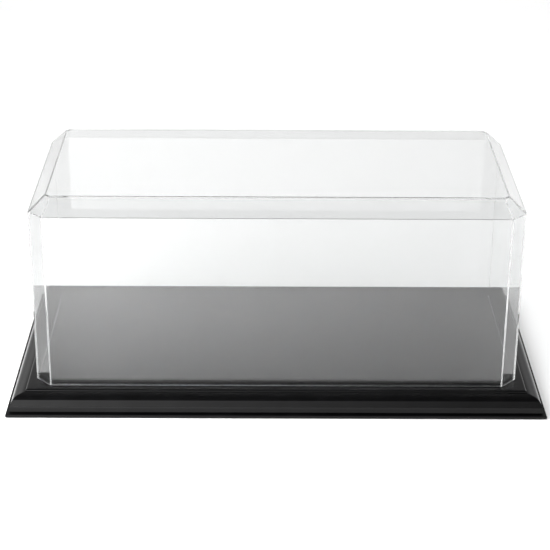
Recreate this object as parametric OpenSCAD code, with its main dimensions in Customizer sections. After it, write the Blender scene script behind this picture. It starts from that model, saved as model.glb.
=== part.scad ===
// Football display case: a one-piece clear cover that lifts off a low black base.
// The base is a mitred frame of moulding with a floor panel let into it. The panel
// stands a little above the frame's ledge, and the cover stands on the ledge round it.
// Origin: centre of the footprint, on the surface that the feet stand on. +X runs
// along the length, -Y is the front, +Z is up. Millimetres.

/* [Clear cover] */
// Length of the cover at the top of its upright walls
cover_w = 422.5; // [390:0.5:460]
// Depth of the cover at the top of its upright walls
cover_d = 196; // [180:1:230]
// Height of the cover's top face above the ledge it stands on
cover_h = 173.4; // [140:0.1:200]
// Thickness of the clear wall
wall = 2.5; // [2:0.1:3]
// Leg of the chamfer on each upright corner
corner_leg = 12.8; // [12:0.2:20]
// How far the bevel round the top face runs in from the walls
bevel_in = 14.7; // [10:0.1:15]
// Height of the bevel round the top face
bevel_h = 14.1; // [10:0.1:18]
// How much further out each wall stands at the rim than at the bevel
draft = 0.6; // [0:0.1:1]

/* [Base] */
// How far the base stands out past the cover, all round
overhang = 24.7; // [24:0.1:40]
// Height of the ledge above the base's underside
base_h = 18.7; // [17:0.1:24]
// Height of the square lip at the bottom of the moulding
lip_h = 2.5; // [2:0.1:3]
// How far the floor panel stands above the ledge
floor_rise = 2.5; // [2:0.1:4]
// Gap between the floor panel and the cover's walls
rim_gap = 0.5; // [0.3:0.1:1]
// Thickness of the floor panel
floor_t = 9; // [8:0.5:9.5]
// How far the rails run in under the floor panel, from the outside of the cover
rail_reach = 14; // [13:0.5:20]
// Thickness of the bottom board
board_t = 3; // [3:0.1:4]
// How far in from the outside of the cover the bottom board's edge lies
board_inset = 6; // [5:0.5:8]

/* [Fittings] */
// Diameter of each rubber foot
foot_d = 16; // [10:1:20]
// How far the feet stand out below the base
foot_stand = 0.8; // [0.6:0.1:3]
// Depth of the foot's recess in the bottom board
foot_recess = 1.2; // [0.8:0.1:1.6]
// Shank diameter of the bottom board's screws
screw_d = 3; // [2.5:0.5:3.5]
// Length of those screws, head included
screw_len = 10; // [8:0.5:10]
// Length of the biscuit across each mitre
biscuit_len = 36; // [24:1:38]
// Width of the biscuit, half of it in each rail
biscuit_w = 12; // [8:1:14]
// Thickness of the biscuit
biscuit_t = 3; // [2:0.5:3]
// Width of each batten under the floor panel
batten_w = 28; // [20:1:40]

/* [Hidden] */

$fn = 48;
eps = 0.01;              // overshoot that keeps cuts clean
lacquer = "#151517";
fibreboard = "#8a6d4b";

base_w = cover_w + 2 * overhang;
base_d = cover_d + 2 * overhang;
rail_w = overhang + rail_reach;
under_z = foot_stand;                  // underside of the base
ledge_z = under_z + base_h;            // top of the rails, which the cover stands on
floor_z = ledge_z + floor_rise;        // top of the floor panel
shelf_z = floor_z - floor_t;           // what the floor panel lies on
floor_inset = wall - draft + rim_gap;  // from the cover's plan to the floor panel's edge
top_z = ledge_z + cover_h;
crease_z = top_z - bevel_h;            // where the upright walls meet the bevel
board_top_z = under_z + board_t;
batten_h = shelf_z - board_top_z;
biscuit_z = (board_top_z + shelf_z) / 2;
bevel_turn = 90 - atan2(bevel_h, bevel_in);   // from the wall's face to the bevel's face
slot_gap = 0.1;                        // glue space round the biscuits and the feet
board_gap = 0.2;                       // gap round the bottom board
hole_spare = 0.5;                      // depth of the rails' holes past the screws' ends
biscuit_shift = 2.5;                   // biscuits lie this far inwards of the rails' middle

// The moulding, from its outer face inwards
nose_r = 0.4;            // rounding on the lip's top edge
notch_in = 3.2;          // where the notch above the lip begins
notch_depth = 1.2;
notch_h = 1;
face_bulge = 0.65;       // how far the curved face bows out
face_normal = 150;       // the way the face looks at its top end, in the section
round_r = 6.4;           // rounding between the face and the slope
slope_in = 10.2;         // where that rounding ends
slope_normal = 100;      // the way the slope looks there; it flattens to level inwards
shoulder_in = 16.2;      // where the slope meets the ledge's rounded shoulder
shoulder_r = 1.7;

// Where the feet and the screws are
foot_x = cover_w / 2 - 20;
foot_y = cover_d / 2 - 20;
rail_screw_line = 10;    // screw line, in from the outside of the cover
long_pitch = 150;        // screws along the front and rear rails
batten_x = 90;
batten_pitch = 80;       // screws along a batten
screw_points = concat(
    [for (x = [-1:1], side = [-1, 1]) [x * long_pitch, side * (cover_d / 2 - rail_screw_line)]],
    [for (side = [-1, 1]) [side * (cover_w / 2 - rail_screw_line), 0]],
    [for (x = [-1, 1], y = [-1, 1]) [x * batten_x, y * batten_pitch / 2]]
);
screw_head_r = screw_d;              // a countersunk head is twice the shank across
screw_head_h = screw_d / 2;
head_flat = 0.3;                     // straight edge of the head
drive_len = 3.2;                     // cross recess in the head
drive_w = 0.7;
drive_depth = 1.1;

// ---- outlines ----

// The cover's plan, moved in by a given amount: a rectangle with its corners cut at 45 degrees
function plan(inset) =
    let (
        x = cover_w / 2 - inset,
        y = cover_d / 2 - inset,
        leg = corner_leg - (2 - sqrt(2)) * inset
    )
    [
        [x, leg - y], [x, y - leg], [x - leg, y], [leg - x, y],
        [-x, y - leg], [-x, leg - y], [leg - x, -y], [x - leg, -y]
    ];

// Points of an arc about a centre, from one angle to another
function arc(centre, r, from, to, steps = 8) =
    [for (i = [0:steps])
        let (a = from + (to - from) * i / steps)
        centre + r * [cos(a), sin(a)]];

// Points of a shallow arc from p to q that bows out to the left by the given amount
function bowed(p, q, bow, steps = 10) =
    let (
        chord = norm(q - p),
        r = (chord * chord / 4 + bow * bow) / (2 * bow),
        along = (q - p) / chord,
        left = [-along.y, along.x],
        centre = (p + q) / 2 - (r - bow) * left,
        half = asin(chord / 2 / r)
    )
    [for (i = [0:steps])
        let (a = -half + 2 * half * i / steps)
        centre + r * (sin(a) * along + cos(a) * left)];

// Section of a rail: x runs in from the moulding's outer face, y up from the underside
slope_r = (shoulder_in - slope_in) / -cos(slope_normal);
slope_centre = [shoulder_in, base_h - shoulder_r - slope_r];
slope_end = slope_centre + slope_r * [cos(slope_normal), sin(slope_normal)];
round_centre = slope_end - round_r * [cos(slope_normal), sin(slope_normal)];
face_top = round_centre + round_r * [cos(face_normal), sin(face_normal)];
rail_section = concat(
    [[0, 0]],
    arc([nose_r, lip_h - nose_r], nose_r, 180, 90, 4),
    [
        [notch_in + notch_depth, lip_h],
        [notch_in + notch_depth, lip_h + notch_h]
    ],
    bowed([notch_in, lip_h + notch_h], face_top, face_bulge),
    arc(round_centre, round_r, face_normal, slope_normal),
    arc(slope_centre, slope_r, slope_normal, 90, 4),
    arc([shoulder_in + shoulder_r, base_h - shoulder_r], shoulder_r, 180, 90, 6),
    [[rail_w, base_h], [rail_w, 0]]
);

// ---- shared shapes ----

// A solid through a stack of insets of the cover's plan: levels are [inset, height]
module stack(levels) {
    sides = 8;
    last = len(levels) - 1;
    polyhedron(
        points = [for (level = levels, p = plan(level[0])) [p.x, p.y, level[1]]],
        faces = concat(
            [[for (i = [0:sides - 1]) i]],
            [for (k = [0:last - 1], i = [0:sides - 1])
                [k * sides + i, (k + 1) * sides + i,
                 (k + 1) * sides + (i + 1) % sides, k * sides + (i + 1) % sides]],
            [[for (i = [sides - 1:-1:0]) last * sides + i]]
        )
    );
}

// The cover's plan as an upright block
module plan_block(inset, low, high) {
    translate([0, 0, low])
        linear_extrude(high - low)
            polygon(plan(inset));
}

// Puts a shape at each of the four corners, mirrored so that it always faces outwards
module at_corner(side_x, side_y) {
    mirror([side_x < 0 ? 1 : 0, 0, 0])
        mirror([0, side_y < 0 ? 1 : 0, 0])
            children();
}

// ---- clear cover ----

module cover() {
    top_shift = wall * tan((90 - bevel_turn) / 2);
    crease_shift = wall * tan(bevel_turn / 2);
    color("#e8eef0", 0.35)
        difference() {
            stack([[-draft, ledge_z], [0, crease_z], [bevel_in, top_z]]);
            stack([
                [wall - draft, ledge_z - eps],
                [wall, crease_z - crease_shift],
                [bevel_in + top_shift, top_z - wall]
            ]);
        }
}

// ---- base frame ----

// The cuts that the assembled frame has inside its moulding
module frame_cuts() {
    plan_block(floor_inset, shelf_z, ledge_z + eps);
    board_blank(board_gap, under_z - eps);
    for (x = [-1, 1], y = [-1, 1])
        at_corner(x, y)
            biscuit_blank(slot_gap);
    for (p = screw_points)
        translate([p.x, p.y, under_z - eps])
            cylinder(h = screw_len + hole_spare, d = screw_d);
}

// One mitred length of moulding, drawn at the front of a frame and turned into place
module rail(along, across, turn) {
    color(lacquer)
        difference() {
            rotate([0, 0, turn])
                intersection() {
                    translate([-along / 2, -across / 2, under_z])
                        rotate([90, 0, 90])
                            linear_extrude(along)
                                polygon(rail_section);
                    translate([0, -across / 2, 0])
                        linear_extrude(ledge_z + eps)
                            polygon([
                                [-along / 2, 0], [along / 2, 0],
                                [along / 2 - rail_w, rail_w], [rail_w - along / 2, rail_w]
                            ]);
                }
            frame_cuts();
        }
}

module rail_front() rail(base_w, base_d, 0);
module rail_right() rail(base_d, base_w, 90);
module rail_rear() rail(base_w, base_d, 180);
module rail_left() rail(base_d, base_w, 270);

module floor_panel() {
    color(lacquer)
        plan_block(floor_inset, shelf_z, floor_z);
}

// A lens of pressed wood at the rear right corner, lying along the mitre
module biscuit_blank(grow = 0) {
    half_len = biscuit_len / 2 + grow;
    half_w = biscuit_w / 2 + grow;
    lens_r = (half_len * half_len + half_w * half_w) / (2 * half_w);
    centre_in = rail_w / 2 + biscuit_shift;
    translate([base_w / 2 - centre_in, base_d / 2 - centre_in, biscuit_z - biscuit_t / 2 - grow])
        rotate([0, 0, 45])
            intersection_for (side = [-1, 1])
                translate([0, side * (lens_r - half_w), 0])
                    cylinder(h = biscuit_t + 2 * grow, r = lens_r, $fn = 128);
}

module biscuit(side_x, side_y) {
    color("#c9a877")
        at_corner(side_x, side_y)
            biscuit_blank();
}

module biscuit_front_left() biscuit(-1, -1);
module biscuit_front_right() biscuit(1, -1);
module biscuit_rear_left() biscuit(-1, 1);
module biscuit_rear_right() biscuit(1, 1);

// ---- underside ----

// A batten between the front and rear rails, which holds up the floor panel
module batten(side) {
    length = base_d - 2 * rail_w;
    color("#b8925f")
        difference() {
            translate([side * batten_x - batten_w / 2, -length / 2, board_top_z])
                cube([batten_w, length, batten_h]);
            for (p = screw_points)
                translate([p.x, p.y, under_z])
                    cylinder(h = screw_len, d = screw_d);
        }
}

module batten_left() batten(-1);
module batten_right() batten(1);

module board_blank(grow, low) {
    size_x = cover_w - 2 * board_inset + 2 * grow;
    size_y = cover_d - 2 * board_inset + 2 * grow;
    translate([-size_x / 2, -size_y / 2, low])
        cube([size_x, size_y, board_top_z - low]);
}

module bottom_board() {
    color(fibreboard)
        difference() {
            board_blank(0, under_z);
            for (p = screw_points)
                translate([p.x, p.y, under_z])
                    screw_body(eps);
            for (x = [-1, 1], y = [-1, 1])
                translate([x * foot_x, y * foot_y, under_z - eps])
                    cylinder(h = foot_recess + eps, d = foot_d + 2 * slot_gap);
        }
}

// A countersunk screw, head down, with its head's face at z = 0; the overshoot is for cutting
module screw_body(overshoot = 0) {
    translate([0, 0, -overshoot])
        cylinder(h = head_flat + overshoot, r = screw_head_r);
    translate([0, 0, head_flat])
        cylinder(h = screw_head_h, r1 = screw_head_r, r2 = screw_d / 2);
    cylinder(h = screw_len, d = screw_d);
}

module board_screws() {
    color("#7d7f83")
        for (p = screw_points)
            translate([p.x, p.y, under_z])
                difference() {
                    screw_body();
                    for (turn = [0, 90])
                        rotate([0, 0, turn])
                            translate([-drive_len / 2, -drive_w / 2, -eps])
                                cube([drive_len, drive_w, drive_depth]);
                }
}

module foot(side_x, side_y) {
    edge = 0.5;                        // chamfer round the face that meets the table
    height = foot_stand + foot_recess;
    color("#222222")
        translate([side_x * foot_x, side_y * foot_y, 0]) {
            cylinder(h = edge, r1 = foot_d / 2 - edge, r2 = foot_d / 2);
            translate([0, 0, edge])
                cylinder(h = height - edge, d = foot_d);
        }
}

module foot_front_left() foot(-1, -1);
module foot_front_right() foot(1, -1);
module foot_rear_left() foot(-1, 1);
module foot_rear_right() foot(1, 1);

cover();
rail_front();
rail_right();
rail_rear();
rail_left();
floor_panel();
biscuit_front_left();
biscuit_front_right();
biscuit_rear_left();
biscuit_rear_right();
batten_left();
batten_right();
bottom_board();
board_screws();
foot_front_left();
foot_front_right();
foot_rear_left();
foot_rear_right();
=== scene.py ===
"""Looks for the football display case: clear moulded cover on a gloss-black moulded base."""
import math

import bpy
from mathutils import Matrix, Vector


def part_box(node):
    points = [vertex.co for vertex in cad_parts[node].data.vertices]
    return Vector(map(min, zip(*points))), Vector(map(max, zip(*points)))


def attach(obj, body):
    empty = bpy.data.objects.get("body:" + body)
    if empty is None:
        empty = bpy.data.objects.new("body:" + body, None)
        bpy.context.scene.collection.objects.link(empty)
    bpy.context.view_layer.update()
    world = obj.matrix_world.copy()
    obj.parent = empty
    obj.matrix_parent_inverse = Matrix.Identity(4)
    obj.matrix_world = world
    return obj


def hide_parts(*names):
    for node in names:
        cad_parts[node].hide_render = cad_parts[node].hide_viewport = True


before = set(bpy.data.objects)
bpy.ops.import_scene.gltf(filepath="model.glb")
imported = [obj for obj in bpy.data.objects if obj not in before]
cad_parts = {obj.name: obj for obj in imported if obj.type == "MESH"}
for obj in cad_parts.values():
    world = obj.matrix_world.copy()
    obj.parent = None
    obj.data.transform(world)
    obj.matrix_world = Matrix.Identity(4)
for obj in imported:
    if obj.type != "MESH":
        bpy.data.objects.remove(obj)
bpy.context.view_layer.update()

# ---- sizes, in metres; the overall ones come from the frame ----
cover_low, cover_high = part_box("cover")
floor_low, floor_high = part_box("floor_panel")
rail_low, rail_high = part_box("rail_front")
board_low, board_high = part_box("bottom_board")
base_high = Vector((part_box("rail_right")[1].x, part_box("rail_rear")[1].y, rail_high.z))

WALL = 0.0025            # thickness of the clear cover
CORNER_LEG = 0.0128      # chamfer on the cover's upright corners
BEVEL_IN = 0.0147        # how far the bevel round the top runs in
BEVEL_H = 0.0141
DRAFT = 0.0006           # how far each wall leans out from the bevel to the rim
TOP_BENDS = (0.0004, 0.0002)         # radius on the bends round the top, outside and inside
UPRIGHT_BENDS = (0.0006, 0.0003)     # and on the upright ones
PLAN_STEPS = 6           # segments in each upright bend
BEND_STEPS = 8           # segments in each bend round the top
REST_GAP = 0.00005       # air under the rim
RIM_GAP = 0.0005         # between the floor panel and the cover's walls
MITRE_GAP = 0.00004      # hairline left at each mitre, on each side
BOARD_GAP = 0.0002       # between the bottom board and the rebate round it
FLOOR_EASE = 0.0003      # radius on the floor panel's top edge
SHARP_ANGLE = 35         # bends of more degrees than this are shaded as edges

half_x = cover_high.x - DRAFT            # cover's half length at the bevel
half_y = cover_high.y - DRAFT
ledge_z = rail_high.z
under_z = rail_low.z
floor_z = floor_high.z
shelf_z = floor_low.z
top_z = cover_high.z
crease_z = top_z - BEVEL_H
panel_inset = WALL - DRAFT + RIM_GAP     # from the cover's plan to the floor panel's edge


# ---- outlines ----

def chamfer_leg(inset):
    """What a corner's chamfer takes off each side of the cover's outline, moved in by inset."""
    return CORNER_LEG - (2 - math.sqrt(2)) * inset


def plan(inset, radius):
    """The cover's outline moved in by inset: a rectangle with its corners cut at 45 degrees and
    each of the eight bends rounded."""
    x, y = half_x - inset, half_y - inset
    leg = chamfer_leg(inset)
    corners = [(x, y - leg), (x - leg, y), (leg - x, y), (-x, y - leg),
               (-x, leg - y), (leg - x, -y), (x - leg, -y), (x, leg - y)]
    turn = math.pi / 4
    points = []
    for i, (cx, cy) in enumerate(corners):
        middle = turn * (i + 0.5)
        reach = radius / math.cos(turn / 2)
        ox, oy = cx - reach * math.cos(middle), cy - reach * math.sin(middle)
        for k in range(PLAN_STEPS + 1):
            a = turn * (i + k / PLAN_STEPS)
            points.append((ox + radius * math.cos(a), oy + radius * math.sin(a)))
    return points


def rounded(path, radii, steps):
    """A 2D path with its inner corners rounded by the given radii."""
    out = [Vector(path[0])]
    for before, corner, after, radius in zip(path, path[1:], path[2:], radii):
        corner = Vector(corner)
        a = (Vector(before) - corner).normalized()
        b = (Vector(after) - corner).normalized()
        half = a.angle(b) / 2
        centre = corner + (a + b).normalized() * radius / math.sin(half)
        start = corner + a * radius / math.tan(half) - centre
        end = corner + b * radius / math.tan(half) - centre
        sweep = start.angle(end)
        for k in range(steps + 1):
            t = k / steps
            out.append(centre + (start * math.sin((1 - t) * sweep) + end * math.sin(t * sweep))
                       / math.sin(sweep))
    out.append(Vector(path[-1]))
    return out


def arc(centre, radius, start, end, steps):
    """Points of an arc, angles in degrees."""
    out = []
    for k in range(steps + 1):
        a = math.radians(start + (end - start) * k / steps)
        out.append((centre[0] + radius * math.cos(a), centre[1] + radius * math.sin(a)))
    return out


def bowed(p, q, bow, steps):
    """Points of a shallow arc from p to q that bows out to the left."""
    p, q = Vector(p), Vector(q)
    chord = (q - p).length
    radius = (chord * chord / 4 + bow * bow) / (2 * bow)
    along = (q - p) / chord
    left = Vector((-along.y, along.x))
    centre = (p + q) / 2 - (radius - bow) * left
    half = math.asin(chord / 2 / radius)
    angles = [-half + 2 * half * k / steps for k in range(steps + 1)]
    return [tuple(centre + radius * (math.sin(a) * along + math.cos(a) * left)) for a in angles]


# ---- mesh helpers ----

def mesh_piece(name, vertices, faces, material, body, node):
    """A mesh object made of the given faces, shaded smooth across its bends, that stands for a
    CAD node."""
    mesh = bpy.data.meshes.new(name)
    mesh.from_pydata([tuple(v) for v in vertices], [], faces)
    mesh.validate()
    mesh.materials.append(material)
    mesh.shade_smooth()
    mesh.set_sharp_from_angle(angle=math.radians(SHARP_ANGLE))
    piece = bpy.data.objects.new(name, mesh)
    bpy.context.scene.collection.objects.link(piece)
    weighted = piece.modifiers.new("flat faces stay flat", "WEIGHTED_NORMAL")
    weighted.keep_sharp = True
    weighted.weight = 100
    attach(piece, body)
    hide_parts(node)
    return piece


def ring_faces(first, second, count, flip=False):
    """Quads between two rings of count vertices that start at the given indices."""
    faces = []
    for i in range(count):
        j = (i + 1) % count
        quad = [first + i, first + j, second + j, second + i]
        faces.append(quad[::-1] if flip else quad)
    return faces


# ---- materials ----

def new_material(name):
    """A material with its node tree and its shader."""
    material = bpy.data.materials.new(name)
    material.use_nodes = True
    tree = material.node_tree
    return material, tree, tree.nodes["Principled BSDF"]


def noise(tree, scale, detail=2.0, stretch=(1, 1, 1)):
    """A noise texture in the piece's own coordinates, in metres."""
    place = tree.nodes.new("ShaderNodeTexCoord")
    mapping = tree.nodes.new("ShaderNodeMapping")
    mapping.inputs["Scale"].default_value = stretch
    texture = tree.nodes.new("ShaderNodeTexNoise")
    texture.inputs["Scale"].default_value = scale
    texture.inputs["Detail"].default_value = detail
    tree.links.new(place.outputs["Object"], mapping.inputs["Vector"])
    tree.links.new(mapping.outputs["Vector"], texture.inputs["Vector"])
    return texture.outputs["Fac"]


def ranged(tree, value, low, high, from_low=0.3, from_high=0.7):
    """A value brought from one range to another. A noise mostly lies in 0.3 to 0.7."""
    node = tree.nodes.new("ShaderNodeMapRange")
    node.inputs["From Min"].default_value = from_low
    node.inputs["From Max"].default_value = from_high
    node.inputs["To Min"].default_value = low
    node.inputs["To Max"].default_value = high
    tree.links.new(value, node.inputs["Value"])
    return node.outputs["Result"]


def ramp(tree, value, stops):
    """A colour that runs through (position, colour) stops as value goes from 0 to 1."""
    node = tree.nodes.new("ShaderNodeValToRGB")
    elements = node.color_ramp.elements
    while len(elements) < len(stops):
        elements.new(0.5)
    for element, (position, colour) in zip(elements, stops):
        element.position = position
        element.color = (*colour, 1)
    tree.links.new(value, node.inputs["Fac"])
    return node.outputs["Color"]


def bump(tree, height, distance, strength=1.0):
    """A normal bent by height, whose relief is distance deep in metres."""
    node = tree.nodes.new("ShaderNodeBump")
    node.inputs["Distance"].default_value = distance
    node.inputs["Strength"].default_value = strength
    tree.links.new(height, node.inputs["Height"])
    return node.outputs["Normal"]


def make_lacquer(name, ior):
    """High-gloss black lacquer: near black, faint orange peel, polish that varies a little."""
    material, tree, shader = new_material(name)
    shader.inputs["IOR"].default_value = ior
    tint = ramp(tree, noise(tree, 60, 4), [
        (0.3, (0.0012, 0.0012, 0.0013)), (0.7, (0.0026, 0.0026, 0.0028)),
    ])
    tree.links.new(tint, shader.inputs["Base Color"])
    tree.links.new(ranged(tree, noise(tree, 220, 5), 0.03, 0.09), shader.inputs["Roughness"])
    peel = bump(tree, noise(tree, 700, 2), 0.000006)
    tree.links.new(peel, shader.inputs["Normal"])
    return material


def make_clear():
    """Polished clear plastic. Lamps shine through it, so it casts no hard shadow."""
    material, tree, shader = new_material("clear_acrylic")
    shader.inputs["Base Color"].default_value = (0.89, 0.895, 0.895, 1)
    shader.inputs["Roughness"].default_value = 0.0
    shader.inputs["IOR"].default_value = 1.49
    shader.inputs["Transmission Weight"].default_value = 1.0
    wave = bump(tree, noise(tree, 14, 1), 0.0000015)
    tree.links.new(wave, shader.inputs["Normal"])
    passing = tree.nodes.new("ShaderNodeBsdfTransparent")
    passing.inputs["Color"].default_value = (0.94, 0.945, 0.945, 1)
    path = tree.nodes.new("ShaderNodeLightPath")
    mix = tree.nodes.new("ShaderNodeMixShader")
    tree.links.new(path.outputs["Is Shadow Ray"], mix.inputs["Fac"])
    tree.links.new(shader.outputs["BSDF"], mix.inputs[1])
    tree.links.new(passing.outputs["BSDF"], mix.inputs[2])
    tree.links.new(mix.outputs["Shader"], tree.nodes["Material Output"].inputs["Surface"])
    return material


def make_matt(name, grain, stops, roughness, relief, metallic=0.0):
    """A plain material: its colour runs through stops along a coarse grain, its roughness varies
    with a finer one, and relief is the depth of its bumps. A grain is (scale, stretch)."""
    material, tree, shader = new_material(name)
    scale, stretch = grain
    coarse = noise(tree, scale, 6, stretch)
    fine = noise(tree, scale * 6, 4, stretch)
    tree.links.new(ramp(tree, coarse, stops), shader.inputs["Base Color"])
    tree.links.new(ranged(tree, fine, *roughness), shader.inputs["Roughness"])
    shader.inputs["Metallic"].default_value = metallic
    tree.links.new(bump(tree, fine, relief, 0.6), shader.inputs["Normal"])
    return material


lacquer = make_lacquer("black_lacquer", 1.27)
floor_lacquer = make_lacquer("black_lacquer_floor", 1.5)
clear = make_clear()
# A bright metal finish for the cover's rim: a painted highlight in place of the light the clear
# walls carry to their edge, where the real rim is clear plastic
rim_light_finish = make_matt("painted_rim_light", (300, (1, 1, 1)), [
    (0.3, (0.80, 0.81, 0.81)), (0.5, (0.86, 0.87, 0.87)), (0.7, (0.92, 0.93, 0.93)),
], (0.2, 0.34), 0.00001, 1.0)
beech = make_matt("beech", (160, (1, 1, 6)), [
    (0.35, (0.36, 0.22, 0.11)), (0.5, (0.52, 0.36, 0.20)), (0.68, (0.62, 0.46, 0.28)),
], (0.55, 0.8), 0.00005)
pine = make_matt("pine", (70, (5, 0.35, 3)), [
    (0.32, (0.38, 0.22, 0.09)), (0.45, (0.60, 0.42, 0.22)), (0.62, (0.70, 0.53, 0.31)),
], (0.5, 0.75), 0.00006)
hardboard = make_matt("hardboard", (130, (1, 1, 1)), [
    (0.3, (0.10, 0.055, 0.03)), (0.5, (0.17, 0.10, 0.055)), (0.7, (0.24, 0.15, 0.085)),
], (0.6, 0.85), 0.00004)
zinc = make_matt("zinc", (500, (1, 1, 1)), [
    (0.3, (0.48, 0.49, 0.51)), (0.55, (0.62, 0.63, 0.65)), (0.75, (0.72, 0.72, 0.70)),
], (0.22, 0.42), 0.00001, 1.0)
rubber = make_matt("rubber", (400, (1, 1, 1)), [
    (0.3, (0.014, 0.014, 0.015)), (0.5, (0.022, 0.022, 0.023)), (0.7, (0.035, 0.034, 0.033)),
], (0.7, 0.9), 0.00003)

for node, material in (
    ("biscuit_front_left", beech), ("biscuit_front_right", beech),
    ("biscuit_rear_left", beech), ("biscuit_rear_right", beech),
    ("batten_left", pine), ("batten_right", pine),
    ("bottom_board", hardboard), ("board_screws", zinc),
    ("foot_front_left", rubber), ("foot_front_right", rubber),
    ("foot_rear_left", rubber), ("foot_rear_right", rubber),
):
    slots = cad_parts[node].data.materials
    slots.clear()
    slots.append(material)


# ---- clear cover ----

def shell_path(outside):
    """(inset, height) points from the rim to the top face, for the outside or the inside."""
    turn = math.atan2(BEVEL_IN, BEVEL_H)              # from the walls' face to the bevel's
    low = cover_low.z + REST_GAP
    if outside:
        corners = [(-DRAFT, low), (0, crease_z), (BEVEL_IN, top_z)]
    else:
        crease = crease_z - WALL * math.tan(turn / 2)
        corner_in = BEVEL_IN + WALL * math.tan((math.pi / 2 - turn) / 2)
        corners = [(WALL - DRAFT, low), (WALL, crease), (corner_in, top_z - WALL)]
    radius = TOP_BENDS[0 if outside else 1]
    flat = (corners[-1][0] + 2 * radius, corners[-1][1])
    return rounded([*corners, flat], [radius, radius], BEND_STEPS)


def build_cover():
    """The one-piece clear shell. The underside of its rim gets a bright metal finish, a painted
    highlight that stands in for the light the clear walls carry to their edge; the real rim is
    clear plastic.
    """
    vertices, faces, starts = [], [], {}
    for side, radius in zip(("outside", "inside"), UPRIGHT_BENDS):
        rings = []
        for inset, z in shell_path(side == "outside"):
            rings.append(len(vertices))
            vertices += [(x, y, z) for x, y in plan(inset, radius)]
        count = len(vertices) - rings[-1]
        for a, b in zip(rings, rings[1:]):
            faces += ring_faces(a, b, count, flip=side == "inside")
        top = list(range(rings[-1], rings[-1] + count))
        faces.append(top if side == "outside" else top[::-1])
        starts[side] = rings[0]
    faces += ring_faces(starts["inside"], starts["outside"], count)
    piece = mesh_piece("clear_cover", vertices, faces, clear, "cover", "cover")
    # The rim's underside gets the painted highlight finish
    piece.data.materials.append(rim_light_finish)
    for face in piece.data.polygons:
        if face.center.z < cover_low.z + 2 * REST_GAP:
            face.material_index = 1


build_cover()


# ---- base rails ----

# The moulding's section, measured in from its outer face and up from its underside
BASE_H = ledge_z - under_z
LIP_H = 0.0025
NOSE_R = 0.0004
NOTCH_IN, NOTCH_DEPTH, NOTCH_H = 0.0032, 0.0012, 0.001
FACE_BULGE, FACE_NORMAL = 0.00065, 150
ROUND_R = 0.0064
SLOPE_IN, SLOPE_NORMAL = 0.0102, 100
SHOULDER_IN, SHOULDER_R = 0.0162, 0.0017


def along(centre, radius, angle):
    """The point at an angle in degrees on a circle."""
    a = math.radians(angle)
    return centre[0] + radius * math.cos(a), centre[1] + radius * math.sin(a)


def moulding():
    """The moulding from the bottom of the lip to the ledge, as (in, up) points."""
    slope_r = (SHOULDER_IN - SLOPE_IN) / -math.cos(math.radians(SLOPE_NORMAL))
    slope = (SHOULDER_IN, BASE_H - SHOULDER_R - slope_r)
    top_round = along(along(slope, slope_r, SLOPE_NORMAL), -ROUND_R, SLOPE_NORMAL)
    face_top = along(top_round, ROUND_R, FACE_NORMAL)
    return [
        (0, 0),
        *arc((NOSE_R, LIP_H - NOSE_R), NOSE_R, 180, 90, 6),
        (NOTCH_IN + NOTCH_DEPTH, LIP_H),
        (NOTCH_IN + NOTCH_DEPTH, LIP_H + NOTCH_H),
        *bowed((NOTCH_IN, LIP_H + NOTCH_H), face_top, FACE_BULGE, 16),
        *arc(top_round, ROUND_R, FACE_NORMAL, SLOPE_NORMAL, 16)[1:],
        *arc(slope, slope_r, SLOPE_NORMAL, 90, 10)[1:],
        *arc((SHOULDER_IN + SHOULDER_R, BASE_H - SHOULDER_R), SHOULDER_R, 180, 90, 10)[1:],
    ]


def rail_columns(half_along, half_across, inner_along, inner_across):
    """One entry for each line that runs along a rail: how far in it lies between the corners and
    at the mitre, where it bends, and its height."""
    # The moulding runs straight into its mitres, so it is divided anywhere near them
    columns = [(inwards, inwards, half_along - 2 * BASE_H, under_z + up)
               for inwards, up in moulding()]
    # The inner edge follows the floor panel, and turns along its chamfer to the mitre
    leg = chamfer_leg(panel_inset)
    inner_end, side = inner_along - panel_inset, inner_across - panel_inset
    at_mitre = (half_along + half_across - (inner_end + side - leg)) / 2
    columns += [(half_across - side, at_mitre, inner_end - leg, z) for z in (ledge_z, shelf_z)]
    # The underside has a shelf for the floor panel and a rebate for the bottom board
    rail_w = rail_high.y - rail_low.y
    board_edge = base_high.y - board_high.y - BOARD_GAP
    straight = half_along - 2 * rail_w
    columns += [
        (rail_w, rail_w, straight, shelf_z),
        (rail_w, rail_w, straight, board_high.z),
        (board_edge, board_edge, straight, board_high.z),
        (board_edge, board_edge, straight, under_z),
    ]
    return columns


def build_rail(side, turn):
    """A mitred length of moulding, drawn along the front and turned into place by degrees."""
    long_side = turn % 180 == 0
    half_along, half_across = base_high.xy if long_side else base_high.yx
    inner_along, inner_across = (half_x, half_y) if long_side else (half_y, half_x)
    columns = rail_columns(half_along, half_across, inner_along, inner_across)
    vertices = []
    for end, station in ((-1, "mitre"), (-1, "middle"), (1, "middle"), (1, "mitre")):
        for inwards, at_mitre, bend, z in columns:
            if station == "mitre":
                x, y = end * (half_along - at_mitre - MITRE_GAP), at_mitre - half_across
            else:
                x, y = end * bend, inwards - half_across
            vertices.append((x, y, z))
    count = len(columns)
    faces = [list(range(count)), list(range(4 * count - 1, 3 * count - 1, -1))]
    for k in range(3):
        faces += ring_faces(k * count, (k + 1) * count, count, flip=True)
    spin = Matrix.Rotation(math.radians(turn), 3, "Z")
    vertices = [spin @ Vector(v) for v in vertices]
    mesh_piece(f"{side}_moulding", vertices, faces, lacquer, "base", f"rail_{side}")


for side, turn in (("front", 0), ("right", 90), ("rear", 180), ("left", 270)):
    build_rail(side, turn)


# ---- floor panel ----

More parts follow.
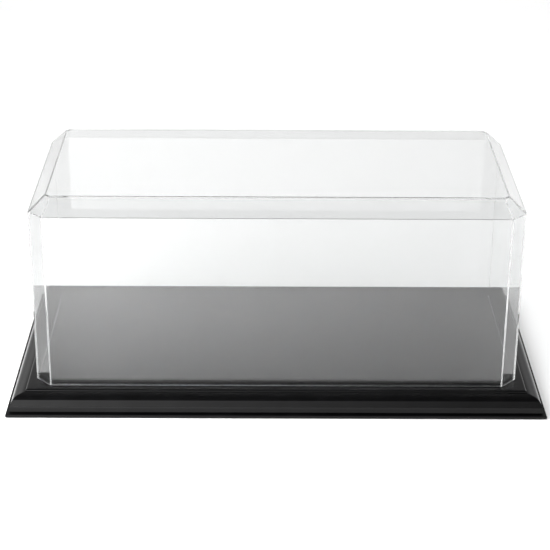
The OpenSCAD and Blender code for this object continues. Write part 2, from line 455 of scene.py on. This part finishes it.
def build_floor():
    """The gloss floor inside the cover, with a slightly eased top edge."""
    corners = [(panel_inset, shelf_z), (panel_inset, floor_z),
               (panel_inset + 4 * FLOOR_EASE, floor_z)]
    path = rounded(corners, [FLOOR_EASE], 6)
    vertices, faces, rings = [], [], []
    for inset, z in path:
        rings.append(len(vertices))
        vertices += [(x, y, z) for x, y in plan(inset, FLOOR_EASE)]
    count = len(vertices) - rings[-1]
    for a, b in zip(rings, rings[1:]):
        faces += ring_faces(a, b, count)
    faces.append(list(range(rings[-1], rings[-1] + count)))
    faces.append(list(range(count))[::-1])
    mesh_piece("floor", vertices, faces, floor_lacquer, "base", "floor_panel")


build_floor()


# ---- studio ----

def grey(*stops):
    """Ramp stops in grey: (position, brightness) pairs."""
    return [(position, (value,) * 3) for position, value in stops]


def multiplied(tree, first, second):
    """Two colours multiplied together."""
    node = tree.nodes.new("ShaderNodeMix")
    node.data_type = "RGBA"
    node.blend_type = "MULTIPLY"
    node.inputs[0].default_value = 1
    tree.links.new(first, node.inputs[6])
    tree.links.new(second, node.inputs[7])
    return node.outputs[2]


def make_world():
    """A pale room: bright low down behind the case and in front to the left, dark overhead."""
    world = bpy.data.worlds.new("studio")
    bpy.context.scene.world = world
    world.use_nodes = True
    tree = world.node_tree
    place = tree.nodes.new("ShaderNodeTexCoord")
    split = tree.nodes.new("ShaderNodeSeparateXYZ")
    tree.links.new(place.outputs["Generated"], split.inputs["Vector"])
    x, y, z = (split.outputs[axis] for axis in "XYZ")
    across = ranged(tree, x, 0, 1, -1, 1)
    front = multiplied(
        tree,
        ramp(tree, z, grey((0, 1), (0.62, 1), (0.70, 0.1), (1, 0.06))),
        ramp(tree, across, grey((0, 0.3), (0.3, 0.7), (0.4, 0.85), (0.46, 0.5), (0.5, 0.34),
                                (0.56, 0.16), (0.6, 0.11), (0.68, 0.12), (0.75, 0.25), (1, 0.25))))
    back = multiplied(
        tree,
        ramp(tree, z, grey((0, 0.26), (0.37, 0.27), (0.41, 0.36), (0.44, 0.36), (0.475, 0.16),
                           (0.5, 0.10), (0.6, 0.06), (1, 0.035))),
        ramp(tree, across, grey((0, 0.85), (0.41, 0.87), (0.5, 0.74), (0.59, 0.58), (0.75, 0.75),
                                (1, 0.8))))
    mix = tree.nodes.new("ShaderNodeMix")
    mix.data_type = "RGBA"
    tree.links.new(ranged(tree, y, 0, 1, -0.3, 0.3), mix.inputs["Factor"])
    tree.links.new(front, mix.inputs[6])
    tree.links.new(back, mix.inputs[7])
    shade = tree.nodes["Background"]
    tree.links.new(mix.outputs[2], shade.inputs["Color"])
    shade.inputs["Strength"].default_value = 5.0


def add_table(reach):
    """The plain pale floor, which runs this far from the case on each side."""
    mesh = bpy.data.meshes.new("table")
    corners = [(-reach, -reach, 0), (reach, -reach, 0), (reach, reach, 0), (-reach, reach, 0)]
    mesh.from_pydata(corners, [], [(0, 1, 2, 3)])
    table = bpy.data.objects.new("table", mesh)
    bpy.context.scene.collection.objects.link(table)
    material, tree, shader = new_material("table")
    shader.inputs["Base Color"].default_value = (0.9, 0.9, 0.9, 1)
    shader.inputs["Roughness"].default_value = 0.9
    shader.inputs["Specular IOR Level"].default_value = 0.1
    mesh.materials.append(material)


def add_lamp(name, place, target, size, power):
    """A soft lamp of size metres and power watts that lights the scene but doesn't show in the
    polished surfaces."""
    data = bpy.data.lights.new(name, "AREA")
    data.shape = "RECTANGLE"
    data.size, data.size_y = size
    data.energy = power
    lamp = bpy.data.objects.new(name, data)
    bpy.context.scene.collection.objects.link(lamp)
    lamp.location = place
    lamp.rotation_euler = (Vector(target) - Vector(place)).to_track_quat("-Z", "Y").to_euler()
    lamp.visible_camera = False
    lamp.visible_glossy = False
    lamp.visible_transmission = False


make_world()
add_table(30)
add_lamp("front_left", (-0.6, -0.4, 0.5), (-0.36, -1.3, 0), (0.5, 0.4), 17)
add_lamp("front", (-0.3, -0.35, 0.5), (-0.18, -0.35, 0), (0.5, 0.4), 5.5)
add_lamp("behind_left", (-0.3, 1.3, 1.2), (-0.3, 1.28, 0), (1.6, 1.0), 6.5)
add_lamp("behind_right", (0.6, 0.6, 1.2), (0.6, 0.58, 0), (1.6, 1.0), 5)
add_lamp("right", (0.75, -0.1, 0.6), (0.6, -0.1, 0), (0.5, 0.5), 1.6)


# ---- camera ----

def add_camera(place, pitch, yaw, roll, lens):
    """A camera that looks along +Y, turned right by yaw and down by pitch, then rolled."""
    forward = Vector((math.sin(yaw) * math.cos(pitch), math.cos(yaw) * math.cos(pitch),
                      -math.sin(pitch)))
    right = Vector((math.cos(yaw), -math.sin(yaw), 0))
    up = right.cross(forward)
    turned_right = right * math.cos(roll) + up * math.sin(roll)
    turned_up = up * math.cos(roll) - right * math.sin(roll)
    data = bpy.data.cameras.new("camera")
    data.sensor_width = 36
    data.lens = lens
    camera = bpy.data.objects.new("camera", data)
    bpy.context.scene.collection.objects.link(camera)
    basis = Matrix((turned_right, turned_up, -forward)).transposed().to_4x4()
    basis.translation = Vector(place)
    camera.matrix_world = basis
    bpy.context.scene.camera = camera


add_camera(
    place=(-0.010254, -1.327927, 0.6969 + under_z),
    pitch=0.434484, yaw=0.00687, roll=0.006752, lens=104.2135,
)

scene = bpy.context.scene
scene.view_settings.view_transform = "Standard"
scene.cycles.caustics_refractive = False
scene.cycles.caustics_reflective = False
# Light runs a long way inside the clear walls before it comes out at their edges
scene.cycles.max_bounces = 128
scene.cycles.transmission_bounces = 32
scene.cycles.glossy_bounces = 128

bpy.context.view_layer.update()
